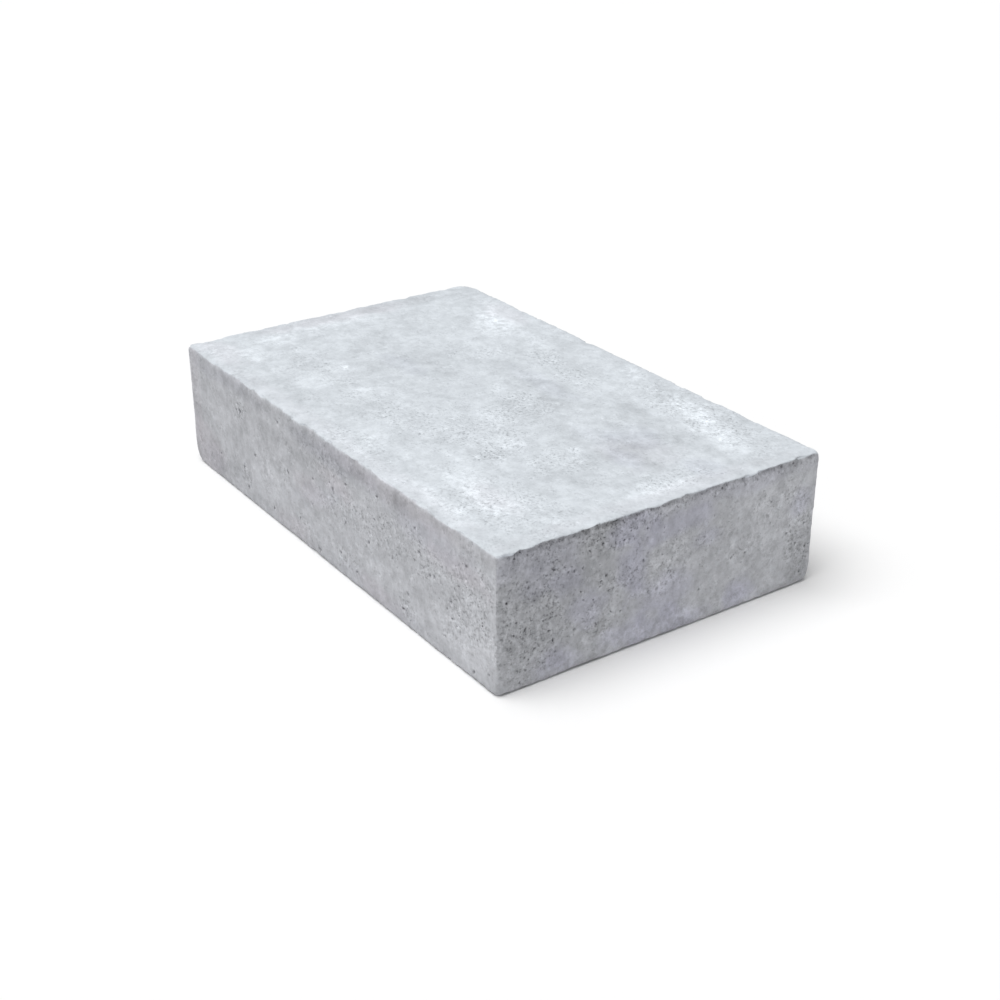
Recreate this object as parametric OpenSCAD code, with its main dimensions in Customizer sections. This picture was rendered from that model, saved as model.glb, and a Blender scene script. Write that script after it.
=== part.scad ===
// Solid concrete building block, lying flat on its bed face.
// Lengths are in millimetres. The origin is the middle of the bed, +X runs along the length,
// +Y across the width and +Z up through the height.

/* [Block] */
// Length along X: a 400 mm module less its mortar joint
block_length = 390; // [190:1:590]
// Width along Y: a 250 mm module less its mortar joint
block_width = 240; // [90:1:390]
// Height along Z: a 100 mm module less its mortar joint
block_height = 90; // [60:1:240]

/* [Arrises] */
// Radius of the four upright arrises, nearly square as they leave the mould
upright_arris_r = 1; // [0.5:0.1:5]
// Radius of the arrises round the top face, nearly square where the press shoe struck it
top_arris_r = 1; // [0.5:0.1:5]
// Radius of the arrises round the bed, rubbed down in handling
bed_arris_r = 2.5; // [0.5:0.1:8]

/* [Worn corners] */
// Length of arris that wear has taken at each corner of the bed, past the round of the arrises
bed_corner_loss = 7.5; // [5:0.5:20]
// Length of arris that a knock has taken at one corner of the top face, past the same round
top_corner_loss = 8; // [5:0.5:20]
// Side of the knocked top corner along X
knocked_side_x = -1; // [-1, 1]
// Side of the knocked top corner along Y
knocked_side_y = 1; // [-1, 1]

/* [Hidden] */
$fn = 96;
// How far a cutting shape runs past the face that it cuts
cut_over = 2;
sides = [-1, 1];
// How far the wear reaches from where the sharp corner would be, at the bed and at the top face
bed_wear = max(bed_arris_r, upright_arris_r) + bed_corner_loss;
top_wear = max(top_arris_r, upright_arris_r) + top_corner_loss;

// What a round of radius r takes off a square corner at the origin, with the outline on +X and +Y
module spandrel(r) {
    difference() {
        translate([-cut_over, -cut_over]) square(r + cut_over);
        translate([r, r]) circle(r);
    }
}

// Rectangle centred on X and standing on Y = 0, its lower and its upper corners rounded
module eased_outline(width, height, lower_r, upper_r) {
    difference() {
        translate([-width / 2, 0]) square([width, height]);
        for (side = sides) translate([side * width / 2, 0]) mirror([max(side, 0), 0]) {
            spandrel(lower_r);
            translate([0, height]) mirror([0, 1]) spandrel(upper_r);
        }
    }
}

// Seen from above: the upright arrises
module plan() {
    translate([0, 0, -cut_over]) linear_extrude(block_height + 2 * cut_over)
        translate([0, -block_width / 2])
            eased_outline(block_length, block_width, upright_arris_r, upright_arris_r);
}

// Seen from the side: the arrises across both ends
module side_elevation() {
    rotate([90, 0, 0]) linear_extrude(block_width + 2 * cut_over, center = true)
        eased_outline(block_length, block_height, bed_arris_r, top_arris_r);
}

// Seen from the end: the arrises along both sides
module end_elevation() {
    rotate([90, 0, 90]) linear_extrude(block_length + 2 * cut_over, center = true)
        eased_outline(block_width, block_height, bed_arris_r, top_arris_r);
}

// What wear takes off a sharp corner at the origin, with the block on +X, +Y and +Z. The face that
// it leaves is part of a ball through the points that lie one reach along each of the three edges.
module corner_wear(reach) {
    difference() {
        translate(-cut_over * [1, 1, 1]) cube(reach + cut_over);
        translate(reach * [1, 1, 1]) sphere(reach * sqrt(2));
    }
}

// Turns what is drawn at a corner of the bed at the origin to the block's own corner
module at_corner(side_x, side_y) {
    translate([side_x * block_length / 2, side_y * block_width / 2, 0])
        mirror([max(side_x, 0), 0, 0]) mirror([0, max(side_y, 0), 0]) children();
}

// One cast piece: the three outlines met in one solid, less its worn corners
module block() {
    color("#b9babd") difference() {
        intersection() {
            plan();
            side_elevation();
            end_elevation();
        }
        for (side_x = sides, side_y = sides) at_corner(side_x, side_y) corner_wear(bed_wear);
        at_corner(knocked_side_x, knocked_side_y)
            translate([0, 0, block_height]) mirror([0, 0, 1]) corner_wear(top_wear);
    }
}

block();
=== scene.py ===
"""Looks of a solid concrete block: worn arrises, pits, a pale skin on top and soft studio light."""
import itertools
import math

import bpy
import numpy as np
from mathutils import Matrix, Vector
from mathutils.geometry import delaunay_2d_cdt


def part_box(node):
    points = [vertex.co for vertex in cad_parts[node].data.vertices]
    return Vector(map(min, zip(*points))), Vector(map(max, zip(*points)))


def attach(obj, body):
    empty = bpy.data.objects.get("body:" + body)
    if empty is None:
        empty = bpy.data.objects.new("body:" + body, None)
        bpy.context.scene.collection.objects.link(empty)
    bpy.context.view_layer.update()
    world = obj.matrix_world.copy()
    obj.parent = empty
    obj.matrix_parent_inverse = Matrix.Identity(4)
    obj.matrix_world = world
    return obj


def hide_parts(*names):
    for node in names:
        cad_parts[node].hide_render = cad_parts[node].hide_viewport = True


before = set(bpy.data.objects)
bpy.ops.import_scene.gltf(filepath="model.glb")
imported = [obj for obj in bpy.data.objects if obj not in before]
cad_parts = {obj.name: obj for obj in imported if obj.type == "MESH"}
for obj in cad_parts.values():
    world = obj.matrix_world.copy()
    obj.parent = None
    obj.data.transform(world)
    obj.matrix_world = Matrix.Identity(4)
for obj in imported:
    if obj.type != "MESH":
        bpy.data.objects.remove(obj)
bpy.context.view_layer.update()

MM = 0.001
NODE = "block"
LOW, HIGH = (np.array(corner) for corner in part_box(NODE))
X, Y, Z = range(3)

# ---------------------------------------------------------------- noise
LATTICE_SEED = 11
LATTICE_SIZE = 4096
LATTICE_STRIDES = np.array((73856093, 19349663, 83492791))
# How many cells of the lattice each seed moves on by
SEED_STEP = 17.31
# Layers of cloud noise, each half as wide and as strong as the last, and what their sum is divided by
CLOUD_LAYERS = 3
CLOUD_SUM = 1.5
# Fields of noise: the width of their features, and their seed
ARRIS_FIELD = (9 * MM, 1)
FINE_ARRIS_FIELD = (3 * MM, 2)
NICK_FIELD = (8 * MM, 3)
CORNER_FIELD = (5 * MM, 4)
WAVE_FIELD = (45 * MM, 5)
GRAIN_FIELD = (2.4 * MM, 8)
RAGGED_FIELD = (1.9 * MM, 9)
WANDER_FIELD = (20 * MM, 10)
SKIN_FIELD = (2.5 * MM, 12)
LIP_EDGE_FIELD = (4 * MM, 20)
OVERHANG_FIELD = (16 * MM, 21)
LIP_FIELD = (3 * MM, 22)
DROP_FIELD = (18 * MM, 31)
BITE_FIELD = (7 * MM, 33)

# ---------------------------------------------------------------- arrises and corners
# Radius of the top and upright arrises, and of those round the bed
ARRIS = 1 * MM
BED_ARRIS = 2.5 * MM
# Heights over which an upright arris goes from the radius at the bed to its own
BED_EASING = (3 * MM, 9 * MM)
# How much the radius varies, and its least and most with the nicks
ARRIS_UNEVEN = 0.3
ARRIS_RANGE = (0.4 * MM, 4 * MM)
# Noise above which an arris is nicked, and how much lower that is round the top face
NICK_FROM = 0.35
NICK_AT_TOP = 0.2
# What the radius gains for each 1 that the noise is above that
NICK_GAIN = 6 * MM
# Depths below the top over which its arrises' own raggedness ends
TOP_EASING = (1 * MM, 5 * MM)
# Width of the strip beside an edge in which its wear changes only along the edge
EDGE_STRIP = 5 * MM
# Corners that wear has turned to part of a ball: side along X, Y and Z, and how far the wear reaches
WORN_CORNERS = (
    (-1, -1, -1, 13 * MM),
    (-1, 1, -1, 10 * MM),
    (1, -1, -1, 8 * MM),
    (1, 1, -1, 10 * MM),
    (-1, 1, 1, 14 * MM),
    (-1, -1, 1, 7 * MM),
    (1, -1, 1, 3.5 * MM),
    (1, 1, 1, 6 * MM),
)
# How uneven the balls are, as a share of their radius
CORNER_UNEVEN = 0.03
# Round the top face the arris has dropped: how far at most, how far that reaches, and over which noise
EDGE_DROP = 1.3 * MM
DROP_REACH = 7 * MM
DROP_RISE = (-0.1, 0.5)
# It is also bitten in: how far at most, how far that reaches, and over which noise
EDGE_BITE = 1.3 * MM
BITE_REACH = 3 * MM
BITE_RISE = (0.05, 0.55)
# How much less the left end and the back are broken, and over what distance that fades
CALM = 0.5
CALM_REACH = 10 * MM

# ---------------------------------------------------------------- below the top arris
# In stretches, a strip of each side is rough and lies back, and its colour is darkened there as painted shade
# under the arris. The depths over which it starts and ends
LIP_START = (0.4 * MM, 1.4 * MM)
LIP_END = (2.6 * MM, 4.8 * MM)
# How far those depths wander, and how far the strip lies back at most
LIP_WANDER = 0.7 * MM
LIP_DEPTH = 0.9 * MM
# Noise over which the stretches come in, and how much the strip varies within them
LIP_RISE = (-0.2, 0.4)
LIP_UNEVEN = 0.35
# How much each side leans towards such stretches
LIP_LEANS = {"front": -0.5, "right_end": 0.6, "back": 0.1, "left_end": 0.1}
# Distances from an upright arris over which the strip starts
UPRIGHT_EASING = (1 * MM, 7 * MM)
# Between the stretches the pale skin hangs over the arris: how far at most, and over which noise
SPILL = 2.5 * MM
SPILL_RISE = (0, 0.6)
# How strong the skin is there, the share of its reach at which it starts to fade, and how far past its
# reach it ends
SPILL_STRENGTH = 0.45
SPILL_FADE = 0.4
SPILL_PAST = 0.6 * MM

# ---------------------------------------------------------------- the pale skin
# How far up a surface faces, as the upright part of its direction, where the skin comes in
SKIN_RISE = (0.1, 0.5)
# How ragged that limit is, and how much higher it is at a corner that has lost its skin
SKIN_RAGGED = 0.3
SKIN_LOST = 0.7
# Reaches of wear between which a corner loses its skin
SKIN_LOSS = (5 * MM, 9 * MM)
# How pale the arrises are where there is no skin, and over what width
PALE_ARRIS = 0.45
PALE_WIDTH = 1.5 * MM

# ---------------------------------------------------------------- relief
# Mean depths of the broad waves, of the grain, and of what rough patches add to the grain
WAVE_DEPTH = 0.12 * MM
GRAIN_DEPTH = 0.05 * MM
ROUGH_DEPTH = 0.06 * MM
# How much of the grain shows on the sides. On the top it is 1 less
SIDE_GRAIN = 1.3
# Mean depths by which the arrises are ragged, are more so round the top face, and wander
RAGGED_DEPTH = 0.16 * MM
RAGGED_AT_TOP = 0.1 * MM
WANDER_DEPTH = 0.35 * MM
# Distance from an arris over which all three fade
RAGGED_WIDTH = 2.5 * MM

# ---------------------------------------------------------------- the mesh
# Each face by its axis and side, with the distance between its points
FACES = {
    "top": (Z, 1, 2.4 * MM),
    "bed": (Z, -1, 4 * MM),
    "front": (Y, -1, 2.2 * MM),
    "back": (Y, 1, 2.3 * MM),
    "left_end": (X, -1, 2.3 * MM),
    "right_end": (X, 1, 2.1 * MM),
}
# Cosines of the angle to a face's own direction over which the surface comes to count as that face's
FACING = (0.3, 0.8)
# Seed of all that is random in the mesh
MESH_SEED = 7
# Distances from an edge at which a row of points runs along it
EDGE_ROWS = [row * MM for row in (0.35, 0.8, 1.4, 2.2, 3.2, 4.5)]
# Distance between the points on the edge itself, and the share by which it has grown at the last row
EDGE_STEP = 1.5 * MM
EDGE_STEP_GROWTH = 0.5
# How far past the last row the grid starts, and how far each of its points moves, in steps of the grid
GRID_START = 0.7
GRID_SHIFT = 0.22
# How near to each other points of the whole mesh are one, and points of a triangulation, in millimetres
SAME_PLACE = 0.01 * MM
TRIANGLE_LIMIT = 1e-5

# ---------------------------------------------------------------- pits
# The larger pits, read off the photo. On each face, in millimetres: the place along its two axes,
# and the radius
PITS = {
    "top": (
        (81, -37, 1.1), (79, -47, 0.9), (91, -47, 1.0), (86, -53, 0.9), (87, -58, 0.8),
        (34, -67, 0.9), (72, -70, 0.8), (126, -47, 0.8), (17, 16, 0.8), (-36, 74, 0.9),
        (107, -2, 0.8), (112, -5, 0.7), (-20, 68, 0.8), (157, -86, 0.9), (88, -112, 1.0),
    ),
    "front": (
        (-115, 66, 1.8), (-111, 64, 1.3), (-114, 24, 1.6), (-109, 11, 1.5), (-71, 10, 1.5),
        (-47, 46, 1.5), (-58, 78, 1.3), (-95, 40, 1.3), (-12, 55, 1.3), (14, 58, 1.5),
        (31, 68, 1.4), (57, 39, 1.6), (59, 36, 1.2), (65, 58, 1.3), (69, 75, 1.3),
        (116, 58, 1.5), (117, 65, 1.3), (127, 48, 1.5), (132, 49, 1.3), (149, 41, 1.7),
        (165, 71, 1.5), (150, 30, 1.3), (102, 24, 1.5), (41, 11, 1.4), (21, 16, 1.4),
        (-8, 6, 1.5), (96, 11, 1.4), (172, 6, 1.5), (187, 12, 1.3), (-33, 18, 1.3),
        (-15, 36, 1.3), (29, 41, 1.2), (-185, 21, 1.2), (-151, 21, 1.2), (112, 72, 1.3),
    ),
    "right_end": (
        (-44, 55, 1.3), (-42, 54, 1.0), (-60, 44, 1.0), (-62, 50, 0.8), (-81, 25, 1.4),
        (-94, 24, 1.0), (-84, 32, 1.0), (-100, 12, 1.1), (-104, 5, 1.1), (-98, 18, 0.8),
        (-66, 27, 0.9), (-53, 42, 0.8), (-33, 28, 0.9), (-17, 56, 1.1), (-47, 76, 1.2),
        (-50, 77, 0.9), (-32, 74, 0.9), (-56, 74, 1.0), (-86, 68, 0.8), (-67, 65, 0.8),
        (-113, 59, 0.9), (-88, 40, 0.8), (-102, 33, 0.8), (-108, 37, 0.8), (-3, 56, 0.9),
        (97, 40, 1.0), (114, 26, 1.2), (116, 18, 1.0), (112, 43, 1.0), (52, 37, 1.0),
        (82, 66, 0.9), (27, 23, 0.8), (-40, 30, 0.9), (111, 9, 0.9), (63, 37, 0.9),
    ),
}
# Close groups of small pits: the place, and how far the group spreads
PIT_GROUPS = {
    "top": ((84, -47, 7), (108, -3, 5), (-20, 68, 6), (40, -15, 7), (150, -80, 9)),
    "front": (
        (-113, 65, 6), (125, 50, 9), (150, 32, 11), (168, 55, 9), (180, 40, 9),
        (10, 60, 8), (98, 12, 6), (-30, 18, 7), (60, 38, 5),
    ),
    "right_end": (
        (-21, 78, 7), (-55, 75, 8), (-86, 68, 5), (-67, 65, 6), (-100, 20, 12),
        (-110, 38, 8), (112, 30, 7), (-60, 32, 8), (85, 62, 8), (-45, 52, 5),
    ),
}
# Pits in a group
GROUP_SIZE = 9
# Small pits scattered over each face, and the ranges of their radii and of those in a group
SCATTERED = {"top": 110, "bed": 110, "front": 200, "back": 230, "left_end": 200, "right_end": 220}
SMALL_PIT = (0.3 * MM, 0.75 * MM)
GROUPED_PIT = (0.4 * MM, 0.9 * MM)
# How far a pit's middle stays from the edges, and how many times the sum of their radii two pits are apart
EDGE_CLEARANCE = 2.6 * MM
PIT_CLEARANCE = 1.7
# The grid's points stay this many radii off a pit's middle, and this much more
GRID_CLEARANCE = (1.6, 0.5 * MM)
# Ranges of a pit's depth, in radii, and of how much it is drawn out
PIT_DEPTH = (0.8, 1.4)
PIT_STRETCH = (0.75, 1.35)
# Rings of a pit: share of its radius, share of its depth, and the points on the ring
LARGE_RINGS = ((1.5, 0, 7), (1.0, 0.12, 8), (0.62, 0.8, 6), (0, 1, 1))
SMALL_RINGS = ((1.6, 0, 6), (0.95, 0.12, 6), (0, 1, 1))
# Radius above which a pit has the large rings
LARGE_FROM = 0.75 * MM
# Range of how far out a ring's points are, and how far they move along it, in steps of the ring
RING_REACH = (0.55, 1.2)
RING_SHIFT = 0.2
# Depth from which a pit is as dark as it gets: its colour darkens with depth, as grime and as painted shade
# in the hollow
DARK_DEPTH = 0.8 * MM

# ---------------------------------------------------------------- patches, in millimetres
# Typed in from the photo, and adjusted to measured differences in tone and hue between it and the
# render. Each has, for each face: the place along its two axes, the half sizes, the turn in degrees and the
# strength
# Pale, frosty bloom, and on the right end a strip of painted light along the foot
PALE_PATCHES = {
    "top": (
        (-105, 82, 38, 15, -25, 1.1), (-150, 108, 22, 8, -10, 0.7), (32, 108, 16, 8, -20, 0.9),
        (100, 98, 32, 10, -15, 1.1), (142, 85, 30, 14, -10, 1.1), (-172, 0, 9, 30, 0, 0.8),
        (-175, -50, 10, 26, 0, 0.6), (40, -17, 24, 12, -20, 0.7), (75, -28, 16, 12, 0, 0.7),
        (100, -77, 28, 11, -15, 0.7), (142, -78, 22, 18, 0, 0.6), (180, 5, 9, 24, 0, 0.9),
        (0, 18, 15, 6, -30, 0.7), (-170, -106, 26, 12, 0, 0.8), (-80, -80, 14, 14, 0, 0.5),
        (118, -108, 40, 9, 0, 0.9), (20, -112, 40, 5, 0, 0.6), (-49, -60, 5, 5, 0, 0.9),
        (22, -94, 4, 4, 0, 1.2), (22, 65, 4, 4, 0, 1.2), (-91, -49, 6, 3, -20, 0.9),
        (-110, -25, 50, 5, -15, 0.3), (60, 60, 40, 5, -25, 0.3), (-165, -65, 12, 34, 0, 0.8),
        (138, -92, 20, 9, 0, 0.9), (-85, 92, 46, 9, -8, 0.6), (0, -90, 60, 8, 0, 0.4),
        (-148, -88, 18, 10, 0, 0.9), (-95, -50, 20, 10, 0, 0.6), (-125, 90, 24, 8, -10, 0.5),
        (25, 98, 30, 8, -10, 0.5), (-20, -45, 24, 10, 0, 0.4), (75, -90, 40, 7, 0, 0.5),
        (-145, 50, 14, 10, 0, 0.5), (-45, 82, 14, 14, 0, 0.5), (176, -70, 10, 8, 0, 0.8),
        (-118, -85, 20, 10, 0, 0.4), (140, -108, 16, 8, 0, 0.5), (-168, -32, 12, 8, 0, 0.6),
    ),
    "front": (
        (92, 27, 18, 9, 0, 0.5), (-70, 30, 26, 14, 0, 0.8), (-10, 42, 30, 5, 20, 0.4),
        (155, 64, 3, 3, 0, 1.2), (62, 22, 14, 10, 0, 0.6), (162, 26, 38, 16, 0, 0.8),
        (-150, 52, 26, 10, 0, 0.4), (40, 64, 22, 6, 15, 0.4), (-78, 38, 12, 8, 0, 0.6),
        (189, 36, 5, 14, 0, 0.7), (20, 66, 20, 6, 0, 0.3), (180, 70, 16, 8, 0, 0.5),
        (-52, 54, 10, 8, 0, 0.7), (112, 20, 12, 8, 0, 0.7), (67, 26, 12, 8, 0, 0.4), (-82, 38, 10, 7, 0, 0.4),
    ),
    "right_end": (
        (82, 58, 42, 30, 0, 0.9), (-12, 68, 3, 3, 0, 1.2), (52, 46, 4, 3, 0, 1.2), (-8, 54, 5, 4, 0, 0.9),
        # The row at (10, 5), 120 by 12, is painted light along the foot, where the floor darkens the face
        (-58, 17, 5, 3, 0, 1.0), (-113, 75, 4, 4, 0, 0.9), (10, 5, 120, 12, 0, 1.2), (4, 14, 18, 12, 0, 0.5),
        (20, 28, 80, 26, 0, 0.45), (80, 76, 44, 14, 0, 0.5), (4, 60, 16, 14, 0, 0.5),
        (8, 42, 14, 16, 0, 0.4),
    ),
}
# Darker, duller concrete, and along the top of the right end also painted shade under the top arris
DARK_PATCHES = {
    "top": (
        (-75, -5, 60, 20, -15, 0.7), (30, 15, 18, 24, 0, 0.7), (-10, 88, 16, 14, 0, 0.5),
        (37, 38, 40, 14, -10, 0.5), (105, 68, 36, 9, -10, 0.4), (112, 28, 24, 18, 0, 0.9),
        (-153, -45, 8, 14, 0, 0.4), (-120, -67, 12, 9, 0, 0.6), (52, -65, 12, 6, 0, 0.5),
        (157, -70, 9, 7, 0, 0.6), (160, -88, 9, 7, 0, 0.5), (140, -25, 16, 8, 0, 0.4),
        (-182, 62, 12, 42, 0, 0.9), (182, 76, 10, 18, 0, 0.9), (-58, -106, 16, 10, 0, 0.7),
        (90, 62, 46, 13, -8, 0.8), (130, 22, 30, 26, 0, 1.2), (-8, 40, 44, 14, 0, 0.9),
        (-92, -28, 50, 8, -10, 0.6), (70, 8, 28, 12, 0, 0.7), (154, 66, 14, 10, 0, 0.9),
        (-188, 0, 8, 110, 0, 0.7), (-60, -95, 40, 8, 0, 0.5), (75, 106, 14, 9, 0, 0.9),
        (78, -52, 16, 8, 0, 0.6), (130, -28, 30, 8, 0, 0.4), (-42, -4, 14, 14, 0, 0.5),
        (35, 70, 14, 8, 0, 0.6), (115, 88, 9, 7, 0, 0.6), (35, -10, 16, 8, 0, 0.4),
        (114, 50, 14, 9, 0, 0.8), (-45, 32, 12, 9, 0, 0.6), (-24, -90, 12, 8, 0, 0.6),
        (16, -110, 12, 7, 0, 0.7), (-130, 20, 16, 14, 0, 0.4), (125, 6, 18, 10, 0, 0.4),
    ),
    "front": (
        (-6, 74, 32, 12, 0, 1.0), (102, 80, 24, 9, 0, 1.0), (-130, 82, 60, 7, 0, 0.6),
        (40, 80, 26, 7, 0, 0.4), (-115, 67, 9, 7, 0, 0.6), (92, 45, 26, 9, 0, 0.4),
        (-22, 62, 16, 8, 0, 0.4), (160, 86, 40, 5, 0, 0.5), (-172, 12, 36, 16, 0, 0.8),
        (-192, 45, 6, 40, 0, 0.5), (0, 82, 170, 7, 0, 0.9), (-60, 68, 30, 8, 0, 0.5),
        (-110, 5, 84, 8, 0, 0.6), (60, 5, 110, 7, 0, 0.4), (143, 42, 14, 12, 0, 0.8),
        (-140, 16, 40, 12, 0, 0.4), (90, 76, 24, 10, 0, 0.7), (-127, 68, 12, 8, 0, 0.9),
        (-142, 82, 14, 7, 0, 0.7), (-37, 62, 12, 14, 0, 0.6), (0, 6, 40, 8, 0, 0.6),
        (-150, 40, 24, 12, 0, 0.3), (-5, 82, 22, 10, 0, 0.5), (90, 36, 18, 10, 0, 0.4),
        (-75, 67, 56, 7, 0, 0.5), (98, 83, 14, 6, 0, 0.6), (165, 37, 14, 8, 0, 0.6),
        (-105, 20, 14, 8, 0, 0.6), (140, 42, 10, 9, 0, 0.4), (-24, 40, 12, 12, 0, 0.4),
    ),
    "right_end": (
        # The thin rows along the top, from 84 up to 87, are duller concrete and painted shade under the top
        # arris
        (-45, 86, 38, 4, 0, 1.0), (95, 86, 24, 3, 0, 1.4), (20, 87, 22, 3, 0, 0.6),
        (-96, 86, 18, 3, 0, 0.8), (-50, 76, 22, 8, 0, 0.7), (-92, 48, 42, 46, 0, 0.7),
        (70, 37, 18, 4, -5, 0.6), (114, 30, 5, 26, 0, 0.7), (-72, 64, 44, 26, 0, 0.6),
        (-54, 24, 14, 20, 0, 0.8), (-107, 58, 13, 20, 0, 0.7),
        (-67, 60, 13, 30, 0, 0.8), (-98, 62, 10, 12, 0, 0.5), (-38, 58, 12, 14, 0, 0.5),
        (38, 67, 9, 7, 0, 0.5), (45, 38, 14, 7, 0, 0.5),
        (-84, 36, 16, 14, 0, 0.6), (-30, 84, 26, 8, 0, 0.7), (-110, 24, 12, 16, 0, 0.5),
    ),
}
# A violet tint
VIOLET_PATCHES = {
    "top": (
        (117, 40, 22, 16, 0, 0.25), (137, 14, 18, 12, 0, 0.25), (-75, -14, 30, 10, 0, 0.15),
        (10, 46, 40, 10, 0, 0.15), (172, 46, 14, 12, 0, 0.2), (100, 20, 18, 10, 0, 0.1),
    ),
    "front": (
        (-10, 44, 40, 9, 20, 0.2), (20, 80, 60, 9, 0, 0.3), (130, 72, 50, 12, 0, 0.3),
        (-130, 82, 60, 8, 0, 0.2), (-165, 14, 24, 12, 0, 0.15), (66, 8, 60, 8, 0, 0.1),
    ),
    "right_end": (
        (-90, 82, 34, 12, 0, 0.5), (60, 84, 70, 8, 0, 0.4), (-95, 64, 18, 12, 0, 0.5),
        (-25, 52, 14, 20, 0, 0.9), (-77, 10, 18, 12, 0, 0.9), (-57, 38, 14, 14, 0, 0.7),
        (60, 10, 14, 11, 0, 0.9), (-10, 10, 45, 12, 0, 0.8), (-27, 80, 18, 10, 0, 0.9),
        (-70, 60, 14, 12, 0, 0.7), (0, 30, 24, 16, 0, 0.7), (10, 72, 34, 9, 0, 0.8),
        (32, 58, 12, 8, 0, 0.6), (108, 60, 10, 12, 0, 0.6),
    ),
}
# A rosy tint
ROSY_PATCHES = {
    "top": (
        (-184, 0, 12, 70, 0, 0.65), (0, -113, 190, 9, 0, 0.25), (-165, -106, 30, 12, 0, 0.45),
        (132, 26, 26, 24, 0, 0.45), (-120, 106, 30, 12, 0, 0.45), (135, -80, 26, 12, 0, 0.4),
        (186, 0, 8, 110, 0, 0.3),
    ),
    "front": (
        (95, 84, 100, 9, 0, 0.55), (158, 66, 34, 10, 0, 0.7), (20, 63, 22, 10, 0, 0.65),
        (-16, 46, 26, 10, 0, 0.55), (-172, 14, 28, 22, 0, 0.75), (-42, 8, 28, 9, 0, 0.6),
        (66, 8, 34, 9, 0, 0.65), (-186, 60, 10, 40, 0, 0.5),
    ),
}
# Coarse, open concrete
ROUGH_PATCHES = {
    "top": (
        (84, -47, 13, 13, 0, 1.0), (-28, 75, 22, 16, 0, 0.8), (10, 70, 26, 11, 0, 0.8),
        (-60, 53, 20, 10, 0, 0.5), (33, 15, 30, 22, 0, 0.8), (55, -30, 42, 30, 0, 0.7),
        (115, 95, 75, 26, 0, 0.9), (175, 20, 15, 30, 0, 0.9), (115, -18, 20, 22, 0, 0.7),
        (0, -62, 65, 18, 0, 0.6), (-105, -62, 50, 18, 0, 0.5), (145, -83, 50, 32, 0, 0.7),
        (25, -106, 44, 11, 0, 0.7), (-75, 35, 40, 16, 0, 0.3),
    ),
    "front": (
        (-115, 67, 12, 10, 0, 0.8), (-112, 18, 10, 12, 0, 0.7), (-73, 10, 8, 6, 0, 0.6),
        (-50, 45, 9, 6, 0, 0.5), (-28, 12, 20, 12, 0, 0.7), (5, 74, 32, 12, 0, 0.5),
        (30, 48, 36, 18, 0, 0.5), (30, 16, 22, 10, 0, 0.6), (82, 58, 26, 20, 0, 0.7),
        (97, 14, 12, 11, 0, 0.8), (120, 57, 18, 14, 0, 0.8), (165, 45, 34, 40, 0, 0.9),
    ),
    "right_end": (
        (-95, 42, 34, 50, 0, 0.8), (-38, 78, 32, 13, 0, 0.8), (-38, 52, 16, 11, 0, 0.8),
        (-48, 32, 16, 14, 0, 0.7), (-13, 45, 24, 22, 0, 0.5), (22, 58, 20, 20, 0, 0.5),
        (60, 42, 14, 9, 0, 0.5), (82, 62, 16, 14, 0, 0.5), (108, 36, 13, 36, 0, 0.9), (0, 34, 12, 8, 0, 0.5),
        (-60, 85, 64, 6, 0, 0.9), (60, 86, 64, 4, 0, 0.8),
    ),
    "back": ((-110, 50, 50, 36, 0, 0.8), (20, 30, 60, 24, 0, 0.5), (140, 60, 36, 28, 0, 0.7)),
    "left_end": ((-60, 50, 36, 34, 0, 0.7), (70, 32, 34, 24, 0, 0.6)),
    "bed": ((0, 0, 170, 90, 0, 0.6),),
}
# The tables by kind, each with the seed of the noise that frays its patches
PATCHES = {
    "pale": (PALE_PATCHES, 13),
    "dark": (DARK_PATCHES, 14),
    "violet": (VIOLET_PATCHES, 15),
    "rough": (ROUGH_PATCHES, 16),
    "rosy": (ROSY_PATCHES, 17),
}
# Distances from a patch's middle over which it fades, and how much they are frayed, in its half sizes
PATCH_FADE = (0.35, 1.25)
PATCH_FRAY = 0.45
PATCH_FRAY_SIZE = 12 * MM

# ---------------------------------------------------------------- the material
# Colours of the sides and of the skin, and what the tints multiply them by where they are full
SIDE_GREY = (0.504, 0.513, 0.540, 1)
SKIN_WHITE = (0.613, 0.651, 0.689, 1)
WHITE = (1, 1, 1, 1)
VIOLET_TINT = (0.957, 0.947, 1.033, 1)
ROSY_TINT = (1.025, 0.983, 0.992, 1)
# The grain's noise: the width of its features, its detail, and how strong the finer ones are
GRAIN_NOISE = (4 * MM, 4, 0.82)
# Layers made of such noise, the values of it that each runs between, and what the layer is at those
LAYERS = {
    "patchy": ((13 * MM, 3, 0.6), (0.4, 0.62), (0, 0.4)),
    "clouds": ((30 * MM, 4, 0.55), (0.25, 0.75), (0.925, 1.075)),
    "mottle": ((9 * MM, 3, 0.6), (0.3, 0.7), (-0.045, 0.045)),
    "streaks": ((5 * MM, 2, 0.5), (0.25, 0.75), (-0.022, 0.022)),
    "pores": ((2 * MM, 3, 0.7), (0.43, 0.34), (0, 1)),
    "flecks": ((2.6 * MM, 3, 0.8), (0.55, 0.64), (0, 1)),
    "frost": ((6 * MM, 4, 0.7), (0.4, 0.6), (0.35, 1.65)),
    "blotches": ((3.5 * MM, 3, 0.7), (0.35, 0.62), (1.4, 0.5)),
}
# How strong each layer is on the sides and on the skin
BY_SKIN = {
    "mottle": (1.3, 0.9),
    "grain": (1.8, 1.1),
    "sand": (0.12, 0.06),
    "pores": (-0.27, -0.16),
    "grit": (0.1, 0.14),
}
# How strong each layer is on even and on coarse concrete
BY_COARSENESS = {
    "mottle": (1.8, 0.3),
    "grain": (0.25, 1.05),
    "sand": (0.5, 1.1),
    "pores": (0.15, 1),
    "flecks": (0.25, 1),
}
# How much lighter the flecks are, away from the pale patches and on them
FLECKS_BY_PALENESS = (0.09, 0.22)
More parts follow.
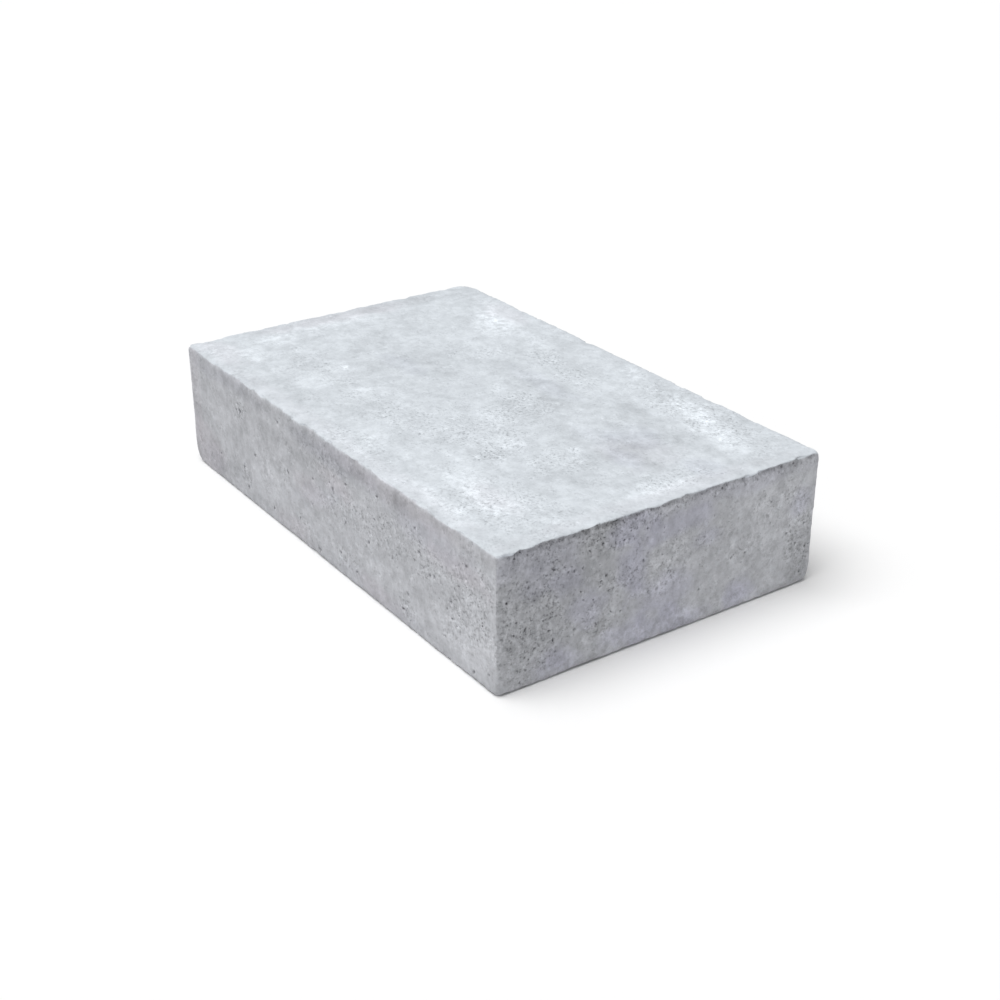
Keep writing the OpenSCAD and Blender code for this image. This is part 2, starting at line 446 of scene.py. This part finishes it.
# How coarse the concrete is where a patch makes it rough
ROUGH_COARSENESS = 0.7
# Streaks are drawn out upright by reading them at this scale along X, Y and Z
STREAK_SCALE = (1, 1, 0.3)
# Widths of the cells of sand and of bright grit
SAND_SIZE = 1.4 * MM
GRIT_SIZE = 2.6 * MM
# Distances from a cell's middle over which its grit comes in, in cells, and the random numbers that give
# a cell its grit
GRIT_EDGE = (0.38, 0.2)
GRIT_CHOICE = (0.72, 0.78)
# What the mesh's own readings add to the lightness where they are 1
RIM_SHADE = 0.18
# The pale reading also carries painted light along the foot of the right end
PALE_SHADE = 0.14
# The dark reading also carries painted shade under the top arris of the right end
DARK_SHADE = -0.1
# Painted shade: the strip below the top arris is darkened where it lies back under the arris
LIP_PAINTED_SHADE = -0.34
# Grime and painted shade at the bottom of the pits, stronger with their depth
PIT_GRIME_AND_PAINTED_SHADE = -0.34
# How high pores and flecks stand beside the grain, in the bump
PORE_HEIGHT = -0.5
FLECK_HEIGHT = 0.1
BUMP_STRENGTH = 0.7
BUMP_DEPTH = 0.5 * MM
# Values of the grain, and how rough the surface is to light at those
GRAIN_RANGE = (0.35, 0.65)
ROUGHNESS = (0.84, 0.96)
SPECULAR_LEVEL = 0.3

# ---------------------------------------------------------------- camera, light and floor
# The camera's azimuth and elevation in degrees, and its place
AZIMUTH = 55.33
ELEVATION = 26.25
CAMERA_PLACE = (0.800, -0.536, 0.486)
# Its focal length and the width of its sensor, in millimetres
LENS = 56.5
SENSOR = 36
# The way to the key light, how wide it is in degrees, and its strength
KEY_DIRECTION = (-0.06, -0.32, 0.95)
KEY_WIDTH = 50
KEY_STRENGTH = 2.65
# Strength of the even light from all round
FILL_STRENGTH = 0.32
# Length of the floor's sides
FLOOR_SIZE = 12
# The floor's colour to the camera, and the one that it lights the block with
FLOOR_WHITE = (0.9, 0.9, 0.9, 1)
FLOOR_BOUNCE = (0.79, 0.79, 0.79, 1)
# How near to the floor a surface sees through it
FLOOR_CONTACT = 0.5 * MM


# ================================================================ noise
LATTICE = np.random.default_rng(LATTICE_SEED).uniform(-1, 1, LATTICE_SIZE)


def lattice_noise(points, size, seed):
    """Smooth noise from -1 to 1, with features about as wide as size."""
    cells = np.asarray(points) / size + seed * SEED_STEP
    base = np.floor(cells).astype(np.int64)
    share = cells - base
    share = share * share * (3 - 2 * share)
    total = np.zeros(len(cells))
    for corner in itertools.product((0, 1), repeat=3):
        weight = np.prod(np.where(corner, share, 1 - share), axis=1)
        keys = np.bitwise_xor.reduce((base + corner) * LATTICE_STRIDES, axis=1)
        total += weight * LATTICE[keys % LATTICE_SIZE]
    return total


def cloud_noise(points, size, seed):
    """Lattice noise with finer and weaker layers over it."""
    layers = [lattice_noise(points, size / 2**n, seed + n) / 2**n for n in range(CLOUD_LAYERS)]
    return sum(layers) / CLOUD_SUM


def smooth_step(value, start, end):
    """0 up to start, 1 from end on, and a smooth rise between them."""
    share = np.clip((value - start) / (end - start), 0, 1)
    return share * share * (3 - 2 * share)


# ================================================================ points of one face
def plane_axes(axis):
    """The two axes that a face across the given axis lies along."""
    return [other for other in (X, Y, Z) if other != axis]


def along(start, end, step):
    """Evenly spaced values from start to end, about one step apart."""
    return np.linspace(start, end, max(2, round((end - start) / step) + 1))


def outline(low, high, step):
    """Points round a rectangle, each corner once."""
    u = along(low[0], high[0], step)
    v = along(low[1], high[1], step)
    sides = [
        np.column_stack((u, np.full(len(u), low[1]))),
        np.column_stack((u, np.full(len(u), high[1]))),
        np.column_stack((np.full(len(v) - 2, low[0]), v[1:-1])),
        np.column_stack((np.full(len(v) - 2, high[0]), v[1:-1])),
    ]
    return np.concatenate(sides)


def staggered_grid(rng, low, high, step):
    """Points a step apart in staggered rows, each moved a little at random."""
    rows = along(low[1], high[1], step * math.sqrt(3) / 2)
    columns = np.arange(low[0], high[0], step)
    u, v = np.meshgrid(columns, rows)
    u = u + (np.arange(len(rows)) % 2)[:, None] * step / 2
    grid = np.column_stack((u.ravel(), v.ravel()))
    grid = grid + rng.uniform(-GRID_SHIFT, GRID_SHIFT, grid.shape) * step
    inside = np.all((grid >= low) & (grid <= high), axis=1)
    return grid[inside]


def wanted_pits(rng, name, low, high):
    """Middles and radii of a face's pits: single ones, close groups, and those scattered at random."""
    wanted = [(u * MM, v * MM, radius * MM) for u, v, radius in PITS.get(name, ())]
    for u, v, spread in PIT_GROUPS.get(name, ()):
        # Half the spread is its standard deviation
        for place in rng.normal((u * MM, v * MM), spread * MM / 2, (GROUP_SIZE, 2)):
            wanted.append((*place, rng.uniform(*GROUPED_PIT)))
    for _ in range(SCATTERED[name]):
        # Squared, so that small ones are the more common
        radius = SMALL_PIT[0] + (SMALL_PIT[1] - SMALL_PIT[0]) * rng.random() ** 2
        wanted.append((*rng.uniform(low, high), radius))
    return wanted


def pit_plan(rng, name, low, high):
    """Middles and radii of a face's pits, with none too near an edge or another pit."""
    kept = np.zeros((0, 3))
    for pit in wanted_pits(rng, name, low, high):
        middle = np.array(pit[:2])
        near_edge = np.any(middle < low + EDGE_CLEARANCE) or np.any(middle > high - EDGE_CLEARANCE)
        gaps = np.linalg.norm(kept[:, :2] - middle, axis=1) - (kept[:, 2] + pit[2]) * PIT_CLEARANCE
        if not near_edge and np.all(gaps > 0):
            kept = np.vstack((kept, pit))
    return kept


def pit_points(rng, middle, radius):
    """The points of one pit on its face, how far each lies below the face, and how pale its rim is there."""
    depth = radius * rng.uniform(*PIT_DEPTH)
    stretch = rng.uniform(*PIT_STRETCH)
    turn = rng.uniform(0, math.pi)
    places, sinks, rims = [], [], []
    for share, sunk, count in LARGE_RINGS if radius > LARGE_FROM else SMALL_RINGS:
        for n in range(count):
            angle = math.tau * (n + rng.uniform(-RING_SHIFT, RING_SHIFT)) / count
            reach = share * radius * rng.uniform(*RING_REACH)
            u, v = reach * stretch * math.cos(angle), reach / stretch * math.sin(angle)
            offset = (u * math.cos(turn) - v * math.sin(turn), u * math.sin(turn) + v * math.cos(turn))
            places.append(middle + offset)
            sinks.append(depth * sunk)
            rims.append(rng.random() if sunk == 0 else 0)
    return np.array(places), np.array(sinks), np.array(rims)


def face_points(rng, name):
    """A face's points along its own two axes, how deep each lies in a pit, and how pale its rim is."""
    axis, _, step = FACES[name]
    axes = plane_axes(axis)
    low, high = LOW[axes], HIGH[axes]
    steps = [EDGE_STEP * (1 + EDGE_STEP_GROWTH * row / EDGE_ROWS[-1]) for row in EDGE_ROWS]
    rows = [outline(low + row, high - row, row_step) for row, row_step in zip(EDGE_ROWS, steps)]
    inner = EDGE_ROWS[-1] + step * GRID_START
    ground = np.concatenate([*rows, staggered_grid(rng, low + inner, high - inner, step)])
    pits = pit_plan(rng, name, low, high)
    for middle_u, middle_v, radius in pits:
        distance = np.hypot(ground[:, 0] - middle_u, ground[:, 1] - middle_v)
        ground = ground[distance > radius * GRID_CLEARANCE[0] + GRID_CLEARANCE[1]]
    rim = outline(low, high, EDGE_STEP)
    level = np.zeros(len(rim) + len(ground))
    parts = [(np.concatenate((rim, ground)), level, level)]
    parts += [pit_points(rng, pit[:2], pit[2]) for pit in pits]
    return [np.concatenate(part) for part in zip(*parts)]


def triangles_of(places):
    """Triangles between a face's points, by their numbers, turning left as seen from its third axis."""
    flat = [Vector(place) for place in places / MM]
    _, _, faces, origins, _, _ = delaunay_2d_cdt(flat, [], [], 0, TRIANGLE_LIMIT)
    return np.array([[origins[corner][0] for corner in face] for face in faces])


def sharp_box(rng):
    """The points of all faces on the box, their sinks and rims, and the triangles, closed at the edges."""
    sharp, sinks, rims, triangles = [], [], [], []
    count = 0
    for name, (axis, side, _) in FACES.items():
        places, sink, rim = face_points(rng, name)
        faces = triangles_of(places)
        points = np.empty((len(places), 3))
        points[:, plane_axes(axis)] = places
        points[:, axis] = HIGH[axis] if side > 0 else LOW[axis]
        # The two axes of a face across Y turn the other way
        outside = (side > 0) != (axis == Y)
        triangles.append((faces if outside else faces[:, ::-1]) + count)
        sharp.append(points)
        sinks.append(sink)
        rims.append(rim)
        count += len(points)
    sharp, sinks, rims = np.concatenate(sharp), np.concatenate(sinks), np.concatenate(rims)
    _, first, same = np.unique(np.round(sharp / SAME_PLACE), axis=0, return_index=True, return_inverse=True)
    triangles = same.ravel()[np.concatenate(triangles)]
    # Where two points became one, the triangles between them are dropped
    triangles = triangles[np.all(triangles != np.roll(triangles, 1, axis=1), axis=1)]
    return sharp[first], sinks[first], rims[first], triangles


# ================================================================ the block's surface
def along_edges(points):
    """The points kept off the outermost strips, so that noise read there only changes along an edge."""
    return np.clip(points, LOW + EDGE_STRIP, HIGH - EDGE_STRIP)


def near_top(sharp):
    """1 round the top face of the sharp box, and 0 from a few millimetres below it."""
    return smooth_step(sharp[:, Z], HIGH[Z] - TOP_EASING[1], HIGH[Z] - TOP_EASING[0])


def arris_radius(points):
    """How round the block's edge is near each point."""
    at_bed = 1 - smooth_step(points[:, Z] - LOW[Z], *BED_EASING)
    radius = ARRIS + (BED_ARRIS - ARRIS) * at_bed
    places = along_edges(points)
    uneven = lattice_noise(places, *ARRIS_FIELD) + lattice_noise(places, *FINE_ARRIS_FIELD)
    nicks = cloud_noise(places, *NICK_FIELD) - NICK_FROM + NICK_AT_TOP * near_top(points)
    return np.clip(radius * (1 + ARRIS_UNEVEN * uneven) + NICK_GAIN * np.clip(nicks, 0, 1), *ARRIS_RANGE)


def eased(points):
    """Points of the sharp box moved onto its rounded arrises, and the direction out of the block."""
    radius = arris_radius(points)[:, None]
    heart = np.clip(points, LOW + radius, HIGH - radius)
    outward = points - heart
    outward /= np.linalg.norm(outward, axis=1, keepdims=True)
    return heart + outward * radius, outward


def corner_at(sides):
    """The corner of the box on these sides along X, Y and Z."""
    return np.where(np.array(sides) > 0, HIGH, LOW)


def wear_corners(points, outward):
    """Brings what lies outside each worn corner's ball back to it. Returns each point's reach of wear."""
    worn_reach = np.zeros(len(points))
    for *sides, reach in WORN_CORNERS:
        sides = np.array(sides)
        heart = corner_at(sides) - sides * reach
        uneven = 1 - CORNER_UNEVEN * (1 + lattice_noise(points, *CORNER_FIELD))
        # Such a ball meets the three arrises where the wear ends
        radius = reach * math.sqrt(2) * uneven
        away = points - heart
        distance = np.linalg.norm(away, axis=1)
        worn = np.all(away * sides > 0, axis=1) & (distance > radius)
        outward[worn] = away[worn] / distance[worn, None]
        points[worn] = heart + outward[worn] * radius[worn, None]
        worn_reach[worn] = reach
    return worn_reach


def facing(outward, name):
    """How much the surface at each point faces the way that a face does."""
    axis, side, _ = FACES[name]
    return smooth_step(outward[:, axis] * side, *FACING)


def overhang(points, outward):
    """Noise along the top arris: below zero where it is rough, above zero where the skin hangs over it."""
    leans = sum(lean * facing(outward, name) for name, lean in LIP_LEANS.items())
    return cloud_noise(along_edges(points), *OVERHANG_FIELD) - leans


def lip_strength(points, outward):
    """How much the rough strip below the top arris tells at each point, in ragged stretches."""
    down = HIGH[Z] - points[:, Z] + LIP_WANDER * lattice_noise(points, *LIP_EDGE_FIELD)
    band = smooth_step(down, *LIP_START) * (1 - smooth_step(down, *LIP_END))
    stretches = smooth_step(-overhang(points, outward), *LIP_RISE)
    ragged = 1 - LIP_UNEVEN * (1 - lattice_noise(points, *LIP_FIELD))
    from_upright = np.minimum(points - LOW, HIGH - points)[:, :Z].max(axis=1)
    clear = smooth_step(from_upright, *UPRIGHT_EASING)
    return band * stretches * ragged * clear * (1 - facing(outward, "top"))


def skin_strength(points, outward, worn_reach):
    """How much of the pale skin lies at each point: all on the top, and less where it hangs or wore off."""
    lost = smooth_step(worn_reach, *SKIN_LOSS)
    ragged = SKIN_RAGGED * lattice_noise(points, *SKIN_FIELD)
    top = smooth_step(outward[:, Z] - SKIN_LOST * lost + ragged, *SKIN_RISE)
    reach = SPILL * smooth_step(overhang(points, outward), *SPILL_RISE)
    down = HIGH[Z] - points[:, Z]
    spill = SPILL_STRENGTH * (1 - smooth_step(down, SPILL_FADE * reach, reach + SPILL_PAST))
    return np.maximum(top, spill * (1 - lost))


def brokenness(sharp):
    """How much the top arris may be broken near each point: less where calm, and 0 at worn corners."""
    calm = np.exp((LOW[X] - sharp[:, X]) / CALM_REACH) + np.exp((sharp[:, Y] - HIGH[Y]) / CALM_REACH)
    broken = 1 - CALM * calm.clip(0, 1)
    for *sides, reach in WORN_CORNERS:
        broken *= smooth_step(np.linalg.norm(sharp - corner_at(sides), axis=1), reach, 2 * reach)
    return broken


def edge_loss(sharp):
    """How far down and in each point of the sharp box moves where the top arris is broken."""
    inward = np.where(sharp < (LOW + HIGH) / 2, 1, -1)
    gaps = np.minimum(sharp - LOW, HIGH - sharp)
    down = HIGH[Z] - sharp[:, Z]
    places = along_edges(sharp)
    broken = brokenness(sharp)
    bite = EDGE_BITE * smooth_step(cloud_noise(places, *BITE_FIELD), *BITE_RISE) * np.exp(-down / BITE_REACH)
    loss = inward * np.exp(-gaps / BITE_REACH) * (broken * bite)[:, None]
    drop = EDGE_DROP * smooth_step(cloud_noise(places, *DROP_FIELD), *DROP_RISE) * np.exp(-down / DROP_REACH)
    loss[:, Z] = -broken * drop * np.exp(-gaps[:, :Z].min(axis=1) / DROP_REACH)
    return loss


def arris_share(sharp, width):
    """1 on the arrises, falling towards 0 over about the given width."""
    from_edge = np.sort(np.minimum(sharp - LOW, HIGH - sharp), axis=1)[:, 1]
    return np.exp(-from_edge / width)


def relief(points, outward, sharp, rough):
    """How far each point lies under the true surface: broad waves, grain, and roughness at the arrises."""
    waves = WAVE_DEPTH * (1 + cloud_noise(points, *WAVE_FIELD))
    grain = (GRAIN_DEPTH + ROUGH_DEPTH * rough) * (1 + lattice_noise(points, *GRAIN_FIELD))
    grain *= SIDE_GRAIN - outward[:, Z].clip(0, 1)
    ragged = (RAGGED_DEPTH + RAGGED_AT_TOP * near_top(sharp)) * (1 + lattice_noise(points, *RAGGED_FIELD))
    wander = WANDER_DEPTH * (1 + cloud_noise(points, *WANDER_FIELD))
    at_arris = arris_share(sharp, RAGGED_WIDTH)
    return waves + grain + (ragged + wander) * at_arris + LIP_DEPTH * lip_strength(points, outward)


def patch_strength(points, outward, kind):
    """The strength at each point of the soft, frayed patches of one kind."""
    patches, seed = PATCHES[kind]
    frayed = PATCH_FRAY * cloud_noise(points, PATCH_FRAY_SIZE, seed)
    total = np.zeros(len(points))
    for name, rows in patches.items():
        u_axis, v_axis = plane_axes(FACES[name][0])
        share = facing(outward, name)
        for u, v, half_u, half_v, turn, strength in rows:
            angle = math.radians(turn)
            du = points[:, u_axis] - u * MM
            dv = points[:, v_axis] - v * MM
            across = (du * math.cos(angle) + dv * math.sin(angle)) / (half_u * MM)
            up = (dv * math.cos(angle) - du * math.sin(angle)) / (half_v * MM)
            total += strength * share * (1 - smooth_step(np.hypot(across, up) + frayed, *PATCH_FADE))
    return total


def add_object(name, data):
    """A new object of the scene that holds the data."""
    added = bpy.data.objects.new(name, data)
    bpy.context.scene.collection.objects.link(added)
    return added


def concrete_block():
    """The block as one closed mesh, with what its material reads at each point."""
    sharp, sinks, rims, triangles = sharp_box(np.random.default_rng(MESH_SEED))
    points, outward = eased(sharp)
    worn_reach = wear_corners(points, outward)
    rough = patch_strength(points, outward, "rough").clip(0, 1)
    depth = relief(points, outward, sharp, rough) + sinks
    mesh = bpy.data.meshes.new("concrete_block")
    mesh.from_pydata(points + edge_loss(sharp) - outward * depth[:, None], [], triangles)
    skin = skin_strength(points, outward, worn_reach)
    pale_arris = PALE_ARRIS * arris_share(sharp, PALE_WIDTH) * (1 - skin) * (worn_reach == 0)
    readings = {
        # Grime and painted shade in the pits, by their depth
        "pit": np.clip(sinks / DARK_DEPTH, 0, 1),
        "rim": rims,
        "rough": rough,
        "skin": skin,
        # Where the colour is darkened as painted shade under the top arris
        "painted_lip_shade": lip_strength(points, outward),
        "pale": patch_strength(points, outward, "pale") + pale_arris,
        "dark": patch_strength(points, outward, "dark"),
        "violet": patch_strength(points, outward, "violet"),
        "rosy": patch_strength(points, outward, "rosy"),
    }
    for name, values in readings.items():
        mesh.attributes.new(name, "FLOAT", "POINT").data.foreach_set("value", values)
    mesh.shade_smooth()
    return add_object("concrete_block", mesh)


# ================================================================ materials
class Nodes:
    """A short way to write the nodes of a material or a world."""

    def __init__(self, owner, kind):
        owner.use_nodes = True
        self.tree = owner.node_tree
        self.tree.nodes.clear()
        self.output = self.tree.nodes.new("ShaderNodeOutput" + kind)

    def add(self, kind, inputs, result=0, **settings):
        """A node with its inputs set or linked by name or number. Returns one of its outputs."""
        node = self.tree.nodes.new("ShaderNode" + kind)
        for name, value in settings.items():
            setattr(node, name, value)
        for key, value in inputs.items():
            if isinstance(value, bpy.types.NodeSocket):
                self.tree.links.new(value, node.inputs[key])
            else:
                node.inputs[key].default_value = value
        return node.outputs[result]

    def show(self, shader):
        """Makes the shader the surface."""
        self.tree.links.new(shader, self.output.inputs["Surface"])

    def reading(self, name):
        """What the mesh says under this name."""
        return self.add("Attribute", {}, "Fac", attribute_name=name)

    def noise(self, place, size, detail, roughness):
        inputs = {"Vector": place, "Scale": 1 / size, "Detail": detail, "Roughness": roughness}
        return self.add("TexNoise", inputs)

    def spread(self, value, start, end, low, high):
        """Goes smoothly from low, where the value is start, to high, where it is end."""
        inputs = {"Value": value, "From Min": start, "From Max": end, "To Min": low, "To Max": high}
        return self.add("MapRange", inputs, interpolation_type="SMOOTHSTEP")

    def between(self, share, low, high):
        """Low where the share is 0, and high where it is 1."""
        return self.spread(share, 0, 1, low, high)

    def layer(self, name, place):
        """One of the layers of noise."""
        noise, values, results = LAYERS[name]
        return self.spread(self.noise(place, *noise), *values, *results)

    def calculate(self, operation, *values):
        return self.add("Math", dict(enumerate(values)), operation=operation)

    def multiply(self, *values):
        result = values[0]
        for value in values[1:]:
            result = self.calculate("MULTIPLY", result, value)
        return result

    def total(self, *values):
        result = values[0]
        for value in values[1:]:
            result = self.calculate("ADD", result, value)
        return result

    def mix(self, share, first, second):
        inputs = {"Factor": share, 6: first, 7: second}
        return self.add("Mix", inputs, 2, data_type="RGBA")

    def scaled(self, vector, scale):
        """The vector or colour times a vector, for each axis or channel."""
        return self.add("VectorMath", {0: vector, 1: scale}, operation="MULTIPLY")

    def shade(self, colour, strength):
        return self.add("VectorMath", {0: colour, "Scale": strength}, operation="SCALE")


def tones(nodes, place, skin, coarse):
    """Soft changes of lightness, round 1: clouds, mottling and upright streaks."""
    return nodes.total(
        nodes.layer("clouds", place),
        nodes.multiply(
            nodes.layer("mottle", place),
            nodes.between(skin, *BY_SKIN["mottle"]),
            nodes.between(coarse, *BY_COARSENESS["mottle"]),
        ),
        nodes.layer("streaks", nodes.scaled(place, STREAK_SCALE)),
    )


def sand(nodes, place):
    """A shade for each cell of sand, from -0.5 to 0.5."""
    colour = nodes.add("TexVoronoi", {"Vector": place, "Scale": 1 / SAND_SIZE}, "Color")
    return nodes.calculate("SUBTRACT", nodes.add("SeparateColor", {"Color": colour}), 0.5)


def grit(nodes, place):
    """1 in the middle of some cells, and 0 elsewhere."""
    distance = nodes.add("TexVoronoi", {"Vector": place, "Scale": 1 / GRIT_SIZE}, "Distance")
    choice = nodes.add("SeparateColor", {"Color": distance.node.outputs["Color"]})
    return nodes.multiply(nodes.spread(distance, *GRIT_EDGE, 0, 1), nodes.spread(choice, *GRIT_CHOICE, 0, 1))


def speckle(nodes, place, skin, coarse, grain):
    """Fine changes of lightness, round 0: grain, sand and bright grit."""
    return nodes.total(
        nodes.multiply(
            nodes.calculate("SUBTRACT", grain, 0.5),
            nodes.between(skin, *BY_SKIN["grain"]),
            nodes.between(coarse, *BY_COARSENESS["grain"]),
        ),
        nodes.multiply(
            sand(nodes, place),
            nodes.between(skin, *BY_SKIN["sand"]),
            nodes.between(coarse, *BY_COARSENESS["sand"]),
        ),
        nodes.multiply(grit(nodes, place), coarse, nodes.between(skin, *BY_SKIN["grit"])),
    )


def marks(nodes, place, pale):
    """Changes of lightness where the mesh has pits and their rims, patches and the strip below the arris. The
    strip is darkened as painted shade under the arris, and the pits with grime and painted shade.
    """
    return nodes.total(
        nodes.multiply(nodes.reading("rim"), RIM_SHADE),
        nodes.multiply(pale, nodes.layer("frost", place), PALE_SHADE),
        nodes.multiply(nodes.reading("dark"), DARK_SHADE),
        # Painted shade in the strip below the top arris
        nodes.multiply(nodes.reading("painted_lip_shade"), nodes.layer("blotches", place), LIP_PAINTED_SHADE),
        # Grime and painted shade in the pits, by their depth
        nodes.multiply(nodes.reading("pit"), PIT_GRIME_AND_PAINTED_SHADE),
    )


def ground_colour(nodes, skin):
    """The grey of the sides and the pale skin, with their tints."""
    violet = nodes.mix(nodes.reading("violet"), WHITE, VIOLET_TINT)
    rosy = nodes.mix(nodes.reading("rosy"), WHITE, ROSY_TINT)
    return nodes.scaled(nodes.mix(skin, SIDE_GREY, SKIN_WHITE), nodes.scaled(violet, rosy))


def concrete():
    """Cast concrete: grey grain with pores and sand, under a pale skin on the face that was up."""
    material = bpy.data.materials.new("concrete")
    nodes = Nodes(material, "Material")
    place = nodes.add("TexCoord", {}, "Object")
    skin = nodes.reading("skin")
    pale = nodes.reading("pale")
    rough = nodes.multiply(nodes.reading("rough"), ROUGH_COARSENESS)
    coarse = nodes.total(rough, nodes.layer("patchy", place))
    grain = nodes.noise(place, *GRAIN_NOISE)
    pores = nodes.multiply(nodes.layer("pores", place), nodes.between(coarse, *BY_COARSENESS["pores"]))
    flecks = nodes.multiply(nodes.layer("flecks", place), nodes.between(coarse, *BY_COARSENESS["flecks"]))
    lightness = nodes.total(
        tones(nodes, place, skin, coarse),
        speckle(nodes, place, skin, coarse, grain),
        nodes.multiply(pores, nodes.between(skin, *BY_SKIN["pores"])),
        nodes.multiply(flecks, nodes.between(pale, *FLECKS_BY_PALENESS)),
        marks(nodes, place, pale),
    )
    height = nodes.total(grain, nodes.multiply(pores, PORE_HEIGHT), nodes.multiply(flecks, FLECK_HEIGHT))
    bump = nodes.add("Bump", {"Strength": BUMP_STRENGTH, "Distance": BUMP_DEPTH, "Height": height})
    nodes.show(nodes.add("BsdfPrincipled", {
        "Base Color": nodes.shade(ground_colour(nodes, skin), lightness),
        "Roughness": nodes.spread(grain, *GRAIN_RANGE, *ROUGHNESS),
        "Specular IOR Level": SPECULAR_LEVEL,
        "Normal": bump,
    }))
    return material


def floor_paper():
    """Matt white paper, clear from below and to what touches it, so that the block's bed can be seen."""
    material = bpy.data.materials.new("floor_paper")
    nodes = Nodes(material, "Material")
    seen = nodes.add("LightPath", {}, "Is Camera Ray")
    paper = nodes.add("BsdfDiffuse", {"Color": nodes.mix(seen, FLOOR_BOUNCE, FLOOR_WHITE)})
    touching = nodes.calculate("LESS_THAN", seen.node.outputs["Ray Length"], FLOOR_CONTACT)
    from_below = nodes.add("NewGeometry", {}, "Backfacing")
    clear = nodes.calculate("MAXIMUM", from_below, touching)
    nodes.show(nodes.add("MixShader", {0: clear, 1: paper, 2: nodes.add("BsdfTransparent", {})}))
    return material


# ================================================================ studio
def direction(azimuth, elevation):
    """The way from the block to a camera at this azimuth and elevation, in degrees."""
    turn, tilt = math.radians(azimuth), math.radians(elevation)
    return Vector((math.sin(turn) * math.cos(tilt), -math.cos(turn) * math.cos(tilt), math.sin(tilt)))


def studio_camera():
    """The camera at the viewing angle, with a plain lens."""
    data = bpy.data.cameras.new("camera")
    data.lens = LENS
    data.sensor_width = SENSOR
    camera = add_object("camera", data)
    camera.location = CAMERA_PLACE
    camera.rotation_euler = (-direction(AZIMUTH, ELEVATION)).to_track_quat("-Z", "Y").to_euler()
    bpy.context.scene.camera = camera


def key_light():
    """One wide, soft light from high on the left, the same all over the floor."""
    data = bpy.data.lights.new("key", "SUN")
    data.angle = math.radians(KEY_WIDTH)
    data.energy = KEY_STRENGTH
    key = add_object("key", data)
    key.rotation_euler = Vector(KEY_DIRECTION).to_track_quat("Z", "Y").to_euler()


def surroundings():
    """An even fill light, which the camera sees as white."""
    world = bpy.data.worlds.new("surroundings")
    nodes = Nodes(world, "World")
    seen = nodes.add("LightPath", {}, "Is Camera Ray")
    fill = nodes.add("Background", {"Color": WHITE, "Strength": FILL_STRENGTH})
    white = nodes.add("Background", {"Color": WHITE})
    nodes.show(nodes.add("MixShader", {0: seen, 1: fill, 2: white}))
    bpy.context.scene.world = world


def floor():
    """A pale floor at the height of the block's bed."""
    half = FLOOR_SIZE / 2
    mesh = bpy.data.meshes.new("floor")
    corners = [(-half, -half, LOW[Z]), (half, -half, LOW[Z]), (half, half, LOW[Z]), (-half, half, LOW[Z])]
    mesh.from_pydata(corners, [], [(0, 1, 2, 3)])
    mesh.materials.append(floor_paper())
    add_object("floor", mesh)


studio_camera()
key_light()
surroundings()
floor()
block = concrete_block()
block.data.materials.append(concrete())
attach(block, "root")
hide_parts(NODE)
bpy.context.scene.view_settings.view_transform = "Standard"
